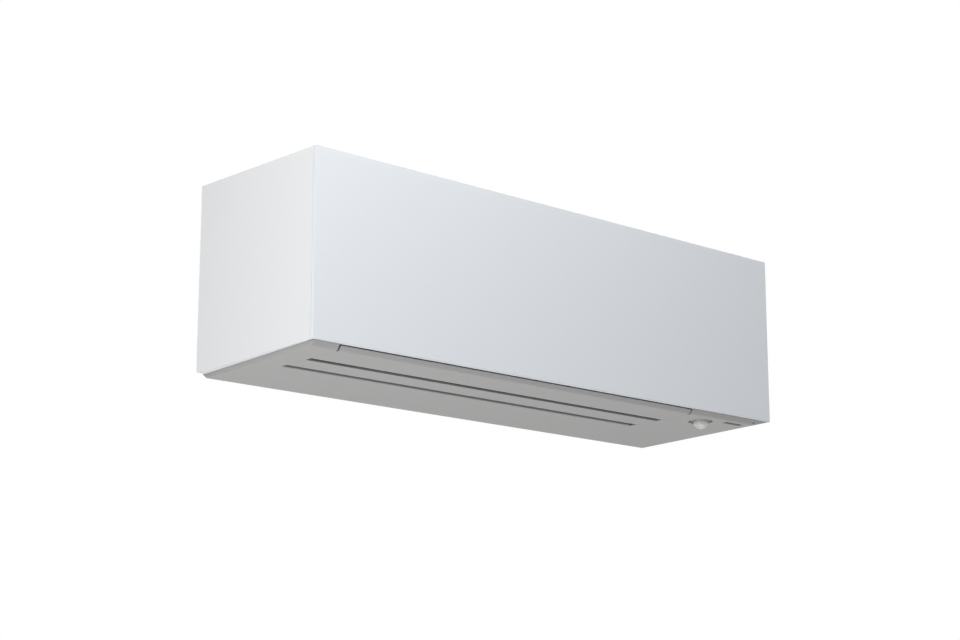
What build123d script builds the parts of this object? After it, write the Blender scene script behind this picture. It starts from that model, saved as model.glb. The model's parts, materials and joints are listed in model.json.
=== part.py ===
from build123d import *
import os
from math import cos, hypot, radians, sin, tan

# A wall-hung mini split indoor unit. Millimetres, +Z up, +X to the right seen from the front.
# The wall is the plane Y = 0 and the front panel's face is at Y = -depth.
# The origin is the middle of the wall face.

os.makedirs("parts", exist_ok=True)

# ---------------------------------------------------------------- overall body
width = 1040.0  # left side to right side
depth = 295.0  # wall to the front panel's face
height = 310.0  # top to the underside's lowest edge, at the wall
panel_lift = 13.5  # the front panel's bottom edge, above the underside at the wall
side_drop = 8.7  # the white sides' bottom edge falls this much from front to wall
band_drop = 9.5  # height of the grey band under the front panel
band_setback = 6.0  # the band slopes back this much on its way down
band_round = 5.0  # rounding between the band and the underside
bevel_left = 0.8  # width of the bevel beside the underside, at the front of the left end
bevel_right = 36.0  # at the front of the right end
bevel_rear = 6.5  # at the wall, both ends
side_flange = 9.5  # the white sides' bottom edge turns in this far at the wall, and hardly at the front
flange_wall = 2.0
corner_round = 5.5  # lower rear corner of each white side

# ---------------------------------------------------------------- walls and clearances
casing_wall = 3.0  # white sides and top
frame_wall = 2.5  # frame behind the front panel
lower_wall = 2.5  # grey lower casing
chassis_wall = 3.0  # rear casing's partitions
back_wall = 2.5  # rear casing's back wall
seam = 0.6  # between the front panel and the casing
running = 0.05  # radial clearance of pins and shafts
loose = 0.3  # clearance between neighbours that don't touch
end_gap = 0.4  # at the ends of the flaps
lip_notch = 3.5  # dark slit across the band at each end of the front flap
notch_reach = 5.0  # the slit ends this far behind the band's foot
groove_round = 2.0  # rounding of the groove's rear edge
lip_round = 1.2  # rounding of the front flap's upper edge

# ---------------------------------------------------------------- front panel
panel_edge = 5.0  # depth of the panel's rim
panel_skin = 2.5
panel_rim = 3.0
panel_return = 16.0  # top return, from the panel's face to the hinge axis
hinge_barrel = 2.5  # radius of the return's rounded rear edge
hinge_pin = 1.8  # radius
hinge_pin_length = 1.7
panel_ribs = 7
panel_rib_wall = 2.0
latch_width = 24.0
latch_reach = 7.0
latch_height = 6.0
latch_inset = 30.0  # from the panel's bottom edge
latch_spacing = 560.0

# ---------------------------------------------------------------- outlet and flaps
outlet_from = 56.0  # left end of the outlet, from the left side
bay_width = 204.5  # from the outlet's right end to the right side
front_flap_depth = 75.0  # the front flap's rear edge, from the front
slot_width = 14.0  # black slot between the two flaps
rear_flap_depth = 48.0
groove_width = 15.0  # groove behind the rear flap
groove_seat = 1.0  # top of the groove's back wall, below the rear guide
flap_wall = 3.0
flap_gap = 1.3  # dark line between the front panel and the front flap
flap_axis_inset = 14.0  # flap axis, ahead of the flap's rear edge
flap_axis_rise = 15.5  # flap axis, above the underside
flap_hub = 6.0
flap_arm = 4.0  # width of the arms at a flap's ends
flap_pin = 3.0
flap_shaft = 2.0  # radius of the motor shafts
flap_shaft_length = 3.0  # length inside the flap's hub
flap_motor_radius = 11.0
flap_motor_length = 20.0

# ---------------------------------------------------------------- fan
fan_radius = 53.0
fan_setback = 147.0  # fan axis, from the front
fan_rise = 143.0  # fan axis, above the underside at the wall
fan_end_gap = 8.0  # fan's ends to the partitions
fan_blades = 31
fan_blade_wall = 1.2
fan_blade_root = 41.0  # inner radius of the blades
fan_blade_sweep = 22.0  # degrees
fan_disc_wall = 2.0
fan_segments = 6
fan_ring_inner = 38.0
stub_shaft = 5.0  # radius
motor_shaft = 4.0
motor_radius = 45.0
motor_length = 52.0
motor_shaft_depth = 30.0  # shaft inside the motor
bearing_radius = 12.0
bearing_length = 8.0

# ---------------------------------------------------------------- air guides
guide_gap = 9.0  # fan to the rear guide
guide_wall = 4.0
guide_top_angle = 20.0  # degrees above the fan axis, where the rear guide starts
guide_turn = 30.0  # slope of the guide's straight run, degrees from vertical
guide_run = 112.0
tongue_gap = 4.0  # fan to the front guide's lip
tongue_angle = 222.0  # degrees
front_guide_wall = 3.0
front_guide_inset = 11.0  # front guide's outlet end, behind the panel's face
front_guide_rise = 14.5  # and above the underside

# ---------------------------------------------------------------- heat exchanger
bank_wall = 24.0
front_bank_foot = (37.0, 120.0)  # from the front, above the underside at the wall
apex_lead = 5.5  # middle of the two banks' tops, ahead of the fan axis
apex_spread = 23.0
apex_drop = 37.0  # tops of the banks below the top of the unit
rear_bank_foot = (45.0, 145.0)  # from the wall, above the underside at the wall
sheet_wall = 1.6
sheet_margin = 2.0
sheet_hole = 50.0  # radius of the arch over the fan shaft
tube_radius = 3.5
tube_clearance = 0.05
tube_pitch = 22.0
front_tubes = 8
rear_tubes = 6
tube_stub = 6.5  # tubes past the right tube sheet
gas_pipe_radius = 4.76
liquid_pipe_radius = 3.18
pipe_bend = 16.0
gas_union_x = -80.0
liquid_union_x = -112.0
union_back = 3.0  # the unions' ends, from the wall
gas_union_radius = 7.94
liquid_union_radius = 5.56
union_thread = 14.0
union_body = 8.0
union_flat = 2.5  # the hexagon, past the thread
gas_pipe_back = 45.0  # from the wall
gas_pipe_rise = 48.0  # above the underside at the wall
liquid_pipe_back = 38.0
liquid_pipe_rise = 26.0
pipe_drop = 30.0  # where the pipes turn down, past the tubes' ends

# ---------------------------------------------------------------- drain pan
pan_wall = 2.5
pan_depth = 28.5
pan_inset = 12.0  # its front edge, from the front
pan_width = 86.0  # front edge to the lip behind the front bank
pan_floor = 68.0  # depth of its floor
pan_step = 15.0  # the lip's underside, above the floor
pan_lip = 7.0  # height of the lip
pan_rise = 90.5  # its underside, above the underside at the wall
pan_overhang = 24.0  # past the outlet's ends
foam_depth = 65.0  # foam under the pan
spout_radius = 8.0
spout_root = 10.0  # radius of its root, up to the pan's lip
spout_wall = 1.5
spout_length = 22.0  # the left spout, which takes the hose
capped_spout_length = 10.0
cap_wall = 2.0

# ---------------------------------------------------------------- vanes
vanes_per_group = 5
vane_pitch = 72.0
vane_group_gap = 80.0  # between the two inner vanes
vane_wall = 2.0
vane_pivot_run = 80.0  # along the rear guide
vane_hub = 3.5
vane_pin = 2.0
vane_reach = 74.0  # across the duct
crank_run = 110.0
crank_pin = 1.5
crank_pin_length = 6.0
link_width = 8.0
link_wall = 2.5
vane_motor_radius = 12.0
vane_motor_length = 17.0

# ---------------------------------------------------------------- top grille and filters
inlet_side = 30.0  # inlet opening, from the left side
inlet_bay = 184.0  # and from the right side
inlet_front = 40.0  # from the front
inlet_back = 40.0  # from the wall
ledge_depth = 15.3  # ledge under the inlet, below the top
ledge_wall = 2.5
ledge_reach = 4.0
tray_wall = 2.0
tray_rise = 13.0
grille_bars = 14
grille_ribs = 9
grille_bar_wall = 2.0
grille_bar_height = 3.0
filter_wall = 5.0  # width of the filter frame's bars
filter_height = 7.0
filter_gap = 4.0  # between the two filters
net_wall = 0.8
net_columns = 19
net_rows = 14
net_thread = 2.0

# ---------------------------------------------------------------- mounting plate
plate_width = 800.0
plate_height = 170.0
plate_rise = 25.0  # middle of the plate, above the origin
plate_wall = 1.5
plate_hole = 2.75
plate_hole_spacing_x = 700.0
plate_hole_spacing_z = 130.0
hook_width = 30.0
hook_spacing = 300.0
hook_drop = 6.0  # hooks below the plate's top edge
hook_lip = 9.0
chassis_back = 12.0  # rear casing's back wall, from the wall
chassis_gap = 3.5  # rear casing's sides to the white sides
chassis_side_wall = 2.5
chassis_side_front = 120.0  # front edge of its sides, from the wall
gutter_rise = 6.5  # gutter under the rear bank, above the guide's straight run
gutter_wall = 2.5
gutter_lip = 10.0
gutter_overhang = 15.0  # past the outlet's ends
brace_depth = 37.0  # the back wall's lower edge, below the gutter
brace_run = 36.0  # where the partition's edge meets the straight run
partition_inset = 12.0  # partition's front edge, from the front
hub_drop = 38.0  # partition's edge below the fan axis, behind the pan
hub_rise = 75.0  # and above it, under the banks
pan_gap = 5.0  # partition's top edge to the pan

# ---------------------------------------------------------------- control box and sensors
box_side = 118.0  # its left wall, from the right side
box_inset = 40.0  # its front edge, from the front
box_depth = 155.0
box_rise = 95.0  # its underside, above the underside at the wall
box_height = 170.0
box_wall = 2.0
cover_wall = 2.2
board_wall = 1.6
board_gap = 6.0  # circuit board to the box's back
post_radius = 3.0
sensor_side = 139.0  # sensor's middle, from the right side
sensor_front = 43.0  # sensor's middle, from the front
sensor_radius = 23.0
sensor_floor = 5.5  # depth of the dish beside the dome
sensor_step = 3.3  # upright wall around the dish
bezel_rim = 1.5
dome_radius = 13.0
dome_wall = 1.2
window_side = 101.0  # window's left end, from the right side
window_length = 45.0
window_front = 15.5  # from the front
window_depth = 11.0
window_wall = 2.5
dot_side = 40.0  # indicator dot, from the right side
dot_rise = 4.0  # above the band's foot
dot_radius = 1.5
display_rise = 8.0  # display board above the lower casing's floor
button_side = 19.0  # emergency button, from the right side
button_rise = 70.0  # above the underside at the wall
button_radius = 4.0
button_travel = 1.5
screw_radius = 2.0
screw_head = 4.0
screw_head_height = 2.2
screw_length = 12.0
screw_rise = 30.0
boss_width = 14.0
boss_depth = 10.0

# ---------------------------------------------------------------- places worked out from the sizes
half = width / 2
front_y = -depth
top_z = height / 2
under_rear_z = top_z - height
panel_bottom_z = under_rear_z + panel_lift
side_rear_z = panel_bottom_z - side_drop
under_front_y = front_y + 2.0 + band_setback
under_front_z = panel_bottom_z - band_drop
band_top = (front_y + 2.0, panel_bottom_z - seam)
panel_back_y = front_y + panel_edge
casing_front_y = panel_back_y + seam
hinge_y = front_y + panel_return
hinge_z = top_z - hinge_barrel
outlet_left = outlet_from - half
outlet_right = half - bay_width
outlet_length = outlet_right - outlet_left
partition_left = outlet_left - chassis_wall
partition_right = outlet_right + chassis_wall
fan_y = front_y + fan_setback
fan_z = under_rear_z + fan_rise
guide_radius = fan_radius + guide_gap
sensor_x = half - sensor_side
window_left = half - window_side
dot_x = half - dot_side
button_x = half - button_side


def under_z(y):
    """Height of the grey underside at y: it falls gently towards the wall."""
    return under_front_z + (under_rear_z - under_front_z) * (y - under_front_y) / -under_front_y


def floor_z(y):
    """Height of the lower casing's inner floor at y."""
    return under_z(y) + lower_wall


def on_fan(radius, angle):
    """A Y-Z point at this radius about the fan axis; the angle in degrees rises from the wall side."""
    return (fan_y + radius * cos(radians(angle)), fan_z + radius * sin(radians(angle)))


# The rear guide's straight run: `run` is measured down along it, `reach` across the duct from it.
guide_start = on_fan(guide_radius, -guide_turn)
guide_down = (-sin(radians(guide_turn)), -cos(radians(guide_turn)))
guide_across = (-cos(radians(guide_turn)), sin(radians(guide_turn)))


def in_duct(run, reach):
    """A Y-Z point in the outlet duct."""
    return (
        guide_start[0] + run * guide_down[0] + reach * guide_across[0],
        guide_start[1] + run * guide_down[1] + reach * guide_across[1],
    )


# ---------------------------------------------------------------- helpers
up = (Align.CENTER, Align.CENTER, Align.MIN)  # a cylinder that starts at its place


def outline(points, x):
    """A closed Y-Z outline in the plane at x."""
    with BuildSketch(Plane.YZ.offset(x)) as shape:
        with BuildLine():
            Polyline(*points, close=True)
        make_face()
    return shape.sketch


def prism(points, x_from, x_to, mode=Mode.ADD):
    """Extrudes a Y-Z outline from x_from to x_to into the part being made."""
    extrude(outline(points, x_from), amount=x_to - x_from, mode=mode)


def block(x, y, z, mode=Mode.ADD):
    """A box between two values of each of x, y and z."""
    with Locations(((x[0] + x[1]) / 2, (y[0] + y[1]) / 2, (z[0] + z[1]) / 2)):
        Box(x[1] - x[0], y[1] - y[0], z[1] - z[0], mode=mode)


def rod(centre, radius, x_from, x_to, mode=Mode.ADD):
    """A round bar along X about a Y-Z centre."""
    with Locations(Plane.YZ.offset(x_from) * Pos(centre[0], centre[1])):
        Cylinder(radius, x_to - x_from, align=up, mode=mode)


def save(part, name):
    """Labels a finished piece and writes its file."""
    part.label = name
    export_step(part, f"parts/{name}.step")


# ---------------------------------------------------------------- mounting plate
plate_bottom_z = plate_rise - plate_height / 2
plate_top_z = plate_rise + plate_height / 2
hook_z = plate_top_z - hook_drop
hook_front_y = -chassis_back - 2.0 - plate_wall
hook_places = [-hook_spacing, 0.0, hook_spacing]

with BuildPart() as mounting_plate:
    block((-plate_width / 2, plate_width / 2), (-plate_wall, 0), (plate_bottom_z, plate_top_z))
    for bead_z in (plate_rise - 28.0, plate_rise + 28.0):
        block((-plate_width / 2 + 60, plate_width / 2 - 60), (-4.5, -plate_wall), (bead_z - 5, bead_z + 5))
    for x in hook_places:
        block((x - hook_width / 2, x + hook_width / 2), (hook_front_y, 0), (hook_z, hook_z + plate_wall))
        block(
            (x - hook_width / 2, x + hook_width / 2),
            (hook_front_y, hook_front_y + plate_wall),
            (hook_z, hook_z + hook_lip),
        )
    with Locations(Plane.XZ * Pos(0, plate_rise)):
        with GridLocations(plate_hole_spacing_x, plate_hole_spacing_z, 2, 2):
            Cylinder(plate_hole, 4 * plate_wall, mode=Mode.SUBTRACT)
save(mounting_plate.part, "mounting_plate")

# ---------------------------------------------------------------- heat exchanger geometry
front_foot = (front_y + front_bank_foot[0], under_rear_z + front_bank_foot[1])
front_apex = (fan_y - apex_lead - apex_spread / 2, top_z - apex_drop)
rear_foot = (-rear_bank_foot[0], under_rear_z + rear_bank_foot[1])
rear_apex = (fan_y - apex_lead + apex_spread / 2, top_z - apex_drop)


def bank_outline(foot, apex, side, margin=0.0):
    """The four corners of a bank, grown by a margin; side is +1 if its thickness lies to the wall's side."""
    length = hypot(apex[0] - foot[0], apex[1] - foot[1])
    along = ((apex[0] - foot[0]) / length, (apex[1] - foot[1]) / length)
    across = (side * along[1], -side * along[0])
    reach = bank_wall / 2 + margin
    corners = []
    for end, sign in ((foot, -1), (apex, 1)):
        for edge in (sign, -sign):
            corners.append(
                (
                    end[0] + sign * margin * along[0] + edge * reach * across[0],
                    end[1] + sign * margin * along[1] + edge * reach * across[1],
                )
            )
    return corners


def tube_places(foot, apex, count):
    """Centres of the tubes in a bank, evenly about its middle, from its foot up."""
    length = hypot(apex[0] - foot[0], apex[1] - foot[1])
    along = ((apex[0] - foot[0]) / length, (apex[1] - foot[1]) / length)
    first = (length - (count - 1) * tube_pitch) / 2
    return [
        (foot[0] + (first + i * tube_pitch) * along[0], foot[1] + (first + i * tube_pitch) * along[1])
        for i in range(count)
    ]


front_tube_places = tube_places(front_foot, front_apex, front_tubes)
rear_tube_places = tube_places(rear_foot, rear_apex, rear_tubes)
all_tube_places = front_tube_places + rear_tube_places
coil_left = outlet_left + sheet_wall
coil_right = outlet_right - sheet_wall
tube_end = outlet_right + tube_stub

# ---------------------------------------------------------------- rear casing
pan_z = under_rear_z + pan_rise
pan_front_y = front_y + pan_inset
pan_back_y = pan_front_y + pan_width
pan_floor_y = pan_front_y + pan_floor
gutter_z = guide_start[1] + gutter_rise
partition_front_y = front_y + partition_inset
brace_z = gutter_z - brace_depth
partition_foot_y = in_duct(guide_run, -guide_wall)[0] + 6.0
partition_outline = [
    (partition_front_y, floor_z(partition_front_y)),
    (partition_front_y, pan_z - pan_gap),
    (pan_floor_y + 2.0, pan_z - pan_gap),
    (pan_back_y + 3.0, fan_z - hub_drop),
    (fan_y - 30.0, fan_z + hub_rise),
    (fan_y + 29.0, fan_z + hub_rise),
    (fan_y + 58.0, fan_z + 17.0),
    (fan_y + 72.0, gutter_z),
    (-chassis_back, gutter_z),
    (-chassis_back, brace_z),
    (in_duct(brace_run, -2 * guide_wall)[0], brace_z),
    (partition_foot_y, floor_z(partition_foot_y)),
]
chassis_side = half - casing_wall - chassis_gap
front_axis = (front_y + front_flap_depth - flap_axis_inset, under_z(front_y + front_flap_depth) + flap_axis_rise)
rear_flap_from = front_y + front_flap_depth + slot_width
rear_flap_to = rear_flap_from + rear_flap_depth
rear_axis = (rear_flap_to - flap_axis_inset, under_z(rear_flap_to) + flap_axis_rise)
holder_radius = bearing_radius + 9.7
group_half = vane_group_gap / 2
duct_middle = (outlet_left + outlet_right) / 2
vane_places = [
    duct_middle - group_half - (vanes_per_group - 1 - i) * vane_pitch for i in range(vanes_per_group)
] + [duct_middle + group_half + i * vane_pitch for i in range(vanes_per_group)]
vane_pivot = in_duct(vane_pivot_run, 0)


def across_duct(x, run, reach):
    """A plane at x in the duct whose normal crosses the duct, away from the rear guide."""
    y, z = in_duct(run, reach)
    return Plane(origin=(x, y, z), x_dir=(1, 0, 0), z_dir=(0, *guide_across))


with BuildPart() as rear_casing:
    # back wall, hung on the plate's hooks
    block((-chassis_side, chassis_side), (-chassis_back, -chassis_back + back_wall), (brace_z, top_z - casing_wall))
    for x in hook_places:
        block(
            (x - hook_width / 2 - 2, x + hook_width / 2 + 2),
            (-chassis_back - 1, -chassis_back + back_wall + 1),
            (hook_z + plate_wall, hook_z + plate_wall + hook_lip + 4),
            mode=Mode.SUBTRACT,
        )
        block(
            (x - hook_width / 2 - 2, x + hook_width / 2 + 2),
            (-chassis_back - 1, -chassis_back + back_wall + 1),
            (hook_z, hook_z + plate_wall + 1),
            mode=Mode.SUBTRACT,
        )
    # way out for the drain hose, low in the left corner
    block(
        (-chassis_side + chassis_side_wall, partition_left),
        (-chassis_back - 1, -chassis_back + back_wall + 1),
        (brace_z - 1, gutter_z - 1.5),
        mode=Mode.SUBTRACT,
    )
    # sides and top rim
    for side in (-1, 1):
        inner, outer = sorted((side * chassis_side, side * (chassis_side - chassis_side_wall)))
        block((inner, outer), (-chassis_side_front, 0), (under_rear_z + 15.0, top_z - casing_wall))
    block((-chassis_side, chassis_side), (-chassis_back, 0), (top_z - casing_wall - back_wall, top_z - casing_wall))
    # partitions beside the fan
    for x in (partition_left, outlet_right):
        prism(partition_outline, x, x + chassis_wall)
    # gutter under the rear bank
    gutter_front_y = on_fan(guide_radius + guide_wall, -20)[0]
    gutter_x = (outlet_left - gutter_overhang, outlet_right + gutter_overhang)
    block(gutter_x, (gutter_front_y, -chassis_back), (gutter_z, gutter_z + gutter_wall))
    for x in (gutter_x[0], gutter_x[1] - gutter_wall):
        block((x, x + gutter_wall), (gutter_front_y, -chassis_back), (gutter_z, gutter_z + gutter_lip))
    # rear air guide: an arc about the fan, then a straight run to the outlet
    with BuildSketch(Plane.YZ.offset(outlet_left)):
        with BuildLine():
            inner_arc = CenterArc((fan_y, fan_z), guide_radius, -guide_turn, guide_turn + guide_top_angle)
            outer_arc = CenterArc(
                (fan_y, fan_z), guide_radius + guide_wall, -guide_turn, guide_turn + guide_top_angle
            )
            Line(inner_arc @ 1, outer_arc @ 1)
            Line(inner_arc @ 0, in_duct(guide_run, 0))
            Line(in_duct(guide_run, 0), in_duct(guide_run, -guide_wall))
            Line(in_duct(guide_run, -guide_wall), outer_arc @ 0)
        make_face()
    extrude(amount=outlet_length)
    # holes: vane pivots, flap pins, fan shaft and bearing
    for x in vane_places:
        with Locations(across_duct(x, vane_pivot_run, -guide_wall - 1)):
            Cylinder(
                vane_pin + running,
                guide_wall + 2,
                align=up,
                mode=Mode.SUBTRACT,
            )
    for axis in (front_axis, rear_axis):
        rod(axis, flap_pin + running, partition_left - 1, outlet_left + 1, mode=Mode.SUBTRACT)
        rod(axis, flap_shaft + loose, outlet_right - 1, partition_right + 1, mode=Mode.SUBTRACT)
    rod((fan_y, fan_z), holder_radius + loose, partition_left - 1, outlet_left + 1, mode=Mode.SUBTRACT)
    rod((fan_y, fan_z), motor_shaft + 4, outlet_right - 1, partition_right + 1, mode=Mode.SUBTRACT)
save(rear_casing.part, "rear_casing")

# ---------------------------------------------------------------- front casing
inlet_x = (inlet_side - half, half - inlet_bay)
inlet_y = (front_y + inlet_front, -inlet_back)
return_back_y = hinge_y + hinge_barrel + loose
ledge_z = top_z - ledge_depth
frame_bottom_z = panel_bottom_z + 2.5
frame_back_y = casing_front_y + frame_wall
latch_z = panel_bottom_z + latch_inset
button_z = under_rear_z + button_rise
screw_z = under_rear_z + screw_rise
screw_places = [-half + 25.0, outlet_right + 20.0, half - 25.0]
inner_half = half - casing_wall


def side_bottom_z(y):
    """Height of the white sides' bottom edge at y."""
    return side_rear_z + (panel_bottom_z - side_rear_z) * y / casing_front_y


def flange_width(y):
    """How far the white sides' bottom edge turns in at y."""
    share = (y - casing_front_y) / (-corner_round - casing_front_y)
    return 0.5 + (side_flange - 0.5) * share


def turned_in_edge(side):
    """The front and rear end of one white side's turned-in bottom edge."""
    ends = []
    for y in (casing_front_y, -corner_round):
        with BuildSketch(Plane.XZ.offset(-y)) as end:
            with BuildLine():
                Polyline(
                    (side * (inner_half + 1), side_bottom_z(y)),
                    (side * (inner_half - flange_width(y)), side_bottom_z(y)),
                    (side * (inner_half - flange_width(y)), side_bottom_z(y) + flange_wall),
                    (side * (inner_half + 1), side_bottom_z(y) + flange_wall),
                    close=True,
                )
            make_face()
        ends.append(end.sketch)
    return ends


with BuildPart() as front_casing:
    # the two sides
    for side in (-1, 1):
        with BuildSketch(Plane.YZ.offset(inner_half if side > 0 else -half)) as side_face:
            with BuildLine():
                Polyline(
                    (casing_front_y, top_z),
                    (0, top_z),
                    (0, side_rear_z),
                    (casing_front_y, panel_bottom_z),
                    close=True,
                )
            make_face()
            fillet(side_face.vertices().sort_by_distance((0, side_rear_z))[0], corner_round)
        extrude(amount=casing_wall)
        loft(turned_in_edge(side), ruled=True)
    # top, with its inlet and the ledge that carries the grille
    block((-inner_half, inner_half), (return_back_y, 0), (top_z - casing_wall, top_z))
    block(
        (inlet_x[0] - ledge_wall, inlet_x[1] + ledge_wall),
        (inlet_y[0] - ledge_wall, inlet_y[1] + ledge_wall),
        (ledge_z - ledge_wall, top_z),
    )
    block(inlet_x, inlet_y, (ledge_z, top_z + 1), mode=Mode.SUBTRACT)
    block(
        (inlet_x[0] + ledge_reach, inlet_x[1] - ledge_reach),
        (inlet_y[0] + ledge_reach, inlet_y[1] - ledge_reach),
        (ledge_z - ledge_wall - 1, ledge_z + 1),
        mode=Mode.SUBTRACT,
    )
    # step under the panel's return
    step_z = hinge_z - hinge_barrel - loose
    block((-inner_half, inner_half), (return_back_y, return_back_y + frame_wall), (step_z - frame_wall, top_z))
    block((-inner_half, inner_half), (casing_front_y, return_back_y), (step_z - frame_wall, step_z))
    # frame behind the front panel
    block((-inner_half, inner_half), (casing_front_y, frame_back_y), (frame_bottom_z, step_z))
    block(
        (-inner_half + 32, inner_half - 32),
        (casing_front_y - 1, frame_back_y + 1),
        (panel_bottom_z + 55, step_z - 22),
        mode=Mode.SUBTRACT,
    )
    # latch sockets, screw holes, button hole
    for x in (-latch_spacing / 2, latch_spacing / 2):
        block(
            (x - latch_width / 2 - 1.5, x + latch_width / 2 + 1.5),
            (casing_front_y - 1, frame_back_y + 1),
            (latch_z - latch_height / 2 - 1.5, latch_z + latch_height / 2 + 1.5),
            mode=Mode.SUBTRACT,
        )
    for x in screw_places:
        with Locations(Plane((x, casing_front_y - 1, screw_z), x_dir=(1, 0, 0), z_dir=(0, 1, 0))):
            Cylinder(
                screw_radius + running,
                frame_wall + 2,
                align=up,
                mode=Mode.SUBTRACT,
            )
    with Locations(Plane((button_x, casing_front_y - 1, button_z), x_dir=(1, 0, 0), z_dir=(0, 1, 0))):
        Cylinder(
            button_radius + running,
            frame_wall + 2,
            align=up,
            mode=Mode.SUBTRACT,
        )
    # blind holes for the front panel's hinge pins
    for side in (-1, 1):
        ends = sorted((side * (inner_half - 1), side * (inner_half + 2.0)))
        rod((hinge_y, hinge_z), hinge_pin + running, ends[0], ends[1], mode=Mode.SUBTRACT)
save(front_casing.part, "front_casing")

# ---------------------------------------------------------------- top grille, a tray that drops into the inlet
tray_x = (inlet_x[0] + loose, inlet_x[1] - loose)
tray_y = (inlet_y[0] + loose, inlet_y[1] - loose)
bar_step = (tray_y[1] - tray_y[0] - tray_wall) / grille_bars
rib_step = (tray_x[1] - tray_x[0] - tray_wall) / grille_ribs

with BuildPart() as top_grille:
    block(tray_x, tray_y, (ledge_z, ledge_z + tray_rise))
    block(
        (tray_x[0] + tray_wall, tray_x[1] - tray_wall),
        (tray_y[0] + tray_wall, tray_y[1] - tray_wall),
        (ledge_z - 1, ledge_z + tray_rise + 1),
        mode=Mode.SUBTRACT,
    )
    for i in range(1, grille_bars):
        y = tray_y[0] + tray_wall / 2 + i * bar_step
        block(
            (tray_x[0] + 1, tray_x[1] - 1),
            (y - grille_bar_wall / 2, y + grille_bar_wall / 2),
            (ledge_z, ledge_z + grille_bar_height),
        )
    for i in range(1, grille_ribs):
        x = tray_x[0] + tray_wall / 2 + i * rib_step
        block(
            (x - grille_bar_wall / 2, x + grille_bar_wall / 2),
            (tray_y[0] + 1, tray_y[1] - 1),
            (ledge_z, ledge_z + grille_bar_height),
        )
save(top_grille.part, "top_grille")

# ---------------------------------------------------------------- air filters
filter_z = ledge_z + grille_bar_height
filter_y = (tray_y[0] + tray_wall + loose, tray_y[1] - tray_wall - loose)
tray_middle = (tray_x[0] + tray_x[1]) / 2
filter_outer = tray_x[1] - tray_wall - loose - tray_middle
filter_inner = filter_gap / 2
filter_offset = (filter_outer + filter_inner) / 2
filter_length = filter_outer - filter_inner
filter_width = filter_y[1] - filter_y[0]
filter_mid_y = (filter_y[0] + filter_y[1]) / 2
net_length = filter_length - 2 * filter_wall
net_width = filter_width - 2 * filter_wall

for side, name in ((-1, "left"), (1, "right")):
    with BuildPart() as filter_frame:
        with BuildSketch(Plane.XY.offset(filter_z)):
            with Locations((tray_middle + side * filter_offset, filter_mid_y)):
                Rectangle(filter_length, filter_width)
                Rectangle(net_length, net_width, mode=Mode.SUBTRACT)
        extrude(amount=filter_height)
        with BuildSketch(Plane.XY.offset(filter_z + 3)):
            with Locations((tray_middle + side * filter_offset, filter_mid_y)):
                for i in range(1, 4):
                    with Locations((-net_length / 2 + i * net_length / 4, 0)):
                        Rectangle(3, net_width)
                Rectangle(net_length, 3)
        extrude(amount=2)
        # finger tab at the front
        with BuildSketch(Plane.XY.offset(filter_z + filter_height)):
            with Locations((tray_middle + side * filter_offset, filter_y[0] + filter_wall / 2)):
                SlotOverall(70, filter_wall)
        extrude(amount=3)
    save(filter_frame.part, f"filter_frame_{name}")

    with BuildPart() as filter_net:
        with BuildSketch(Plane.XY.offset(filter_z + 1)):
            with Locations((tray_middle + side * filter_offset, filter_mid_y)):
                Rectangle(net_length, net_width)
                with GridLocations(net_length / net_columns, net_width / net_rows, net_columns, net_rows):
                    Rectangle(
                        net_length / net_columns - net_thread,
                        net_width / net_rows - net_thread,
                        mode=Mode.SUBTRACT,
                    )
        extrude(amount=net_wall)
    save(filter_net.part, f"filter_net_{name}")

# ---------------------------------------------------------------- front panel
return_x = inner_half - loose

with BuildPart() as front_panel:
    block((-half, half), (front_y, panel_back_y), (panel_bottom_z, top_z))
    block(
        (-half + panel_rim, half - panel_rim),
        (front_y + panel_skin, panel_back_y + 1),
        (panel_bottom_z + panel_rim, top_z - panel_rim),
        mode=Mode.SUBTRACT,
    )
    rib_x = half - panel_rim
    for i in range(1, panel_ribs + 1):
        x = -rib_x + 2 * rib_x * i / (panel_ribs + 1)
        block(
            (x - panel_rib_wall / 2, x + panel_rib_wall / 2),
            (front_y + panel_skin - 0.5, panel_back_y),
            (panel_bottom_z + 1, top_z - 1),
        )
    # return along the top, with the hinge at its rear edge
    block((-return_x, return_x), (panel_back_y - 1, hinge_y), (top_z - casing_wall, top_z))
    rod((hinge_y, hinge_z), hinge_barrel, -return_x, return_x)
    rod((hinge_y, hinge_z), hinge_pin, -return_x - hinge_pin_length, return_x + hinge_pin_length)
    # latches near the bottom
    for x in (-latch_spacing / 2, latch_spacing / 2):
        block(
            (x - latch_width / 2, x + latch_width / 2),
            (front_y + panel_skin - 0.5, panel_back_y + latch_reach),
            (latch_z - latch_height / 2, latch_z + latch_height / 2),
        )
save(front_panel.part, "front_panel")

# ---------------------------------------------------------------- lower casing
lower_half = half - casing_wall - loose
rim_inset = 13.0
band_foot = (under_front_y, under_front_z)
lower_profile = [band_top, band_foot, (0, under_rear_z), (0, band_top[1])]
groove_back_y = rear_flap_to + groove_width
sensor_y = front_y + sensor_front
sensor_z = under_z(sensor_y)
window_y = front_y + window_front
post_places = (sensor_x + sensor_radius + 8.0, window_left + window_length + 20.0)
pocket_front = (band_top[0] + lower_wall + 0.5, band_foot[0] + lower_wall)


def behind_guide_z(y):
    """Height of the rear guide's outer face at y, less the groove wall's clearance."""
    foot = in_duct(guide_run, -guide_wall)
    return foot[1] + (y - foot[0]) / tan(radians(guide_turn)) - groove_seat


def band_plane(x, rise):
    """A plane on the band's face at x, its normal pointing out, `rise` above the band's foot."""
    share = rise / (band_top[1] - band_foot[1])
    slope_y = band_top[0] - band_foot[0]
    slope_z = band_top[1] - band_foot[1]
    reach = hypot(slope_y, slope_z)
    return Plane(
        origin=(x, band_foot[0] + share * slope_y, band_foot[1] + rise),
        x_dir=(1, 0, 0),
        z_dir=(0, -slope_z / reach, slope_y / reach),
    )


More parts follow.
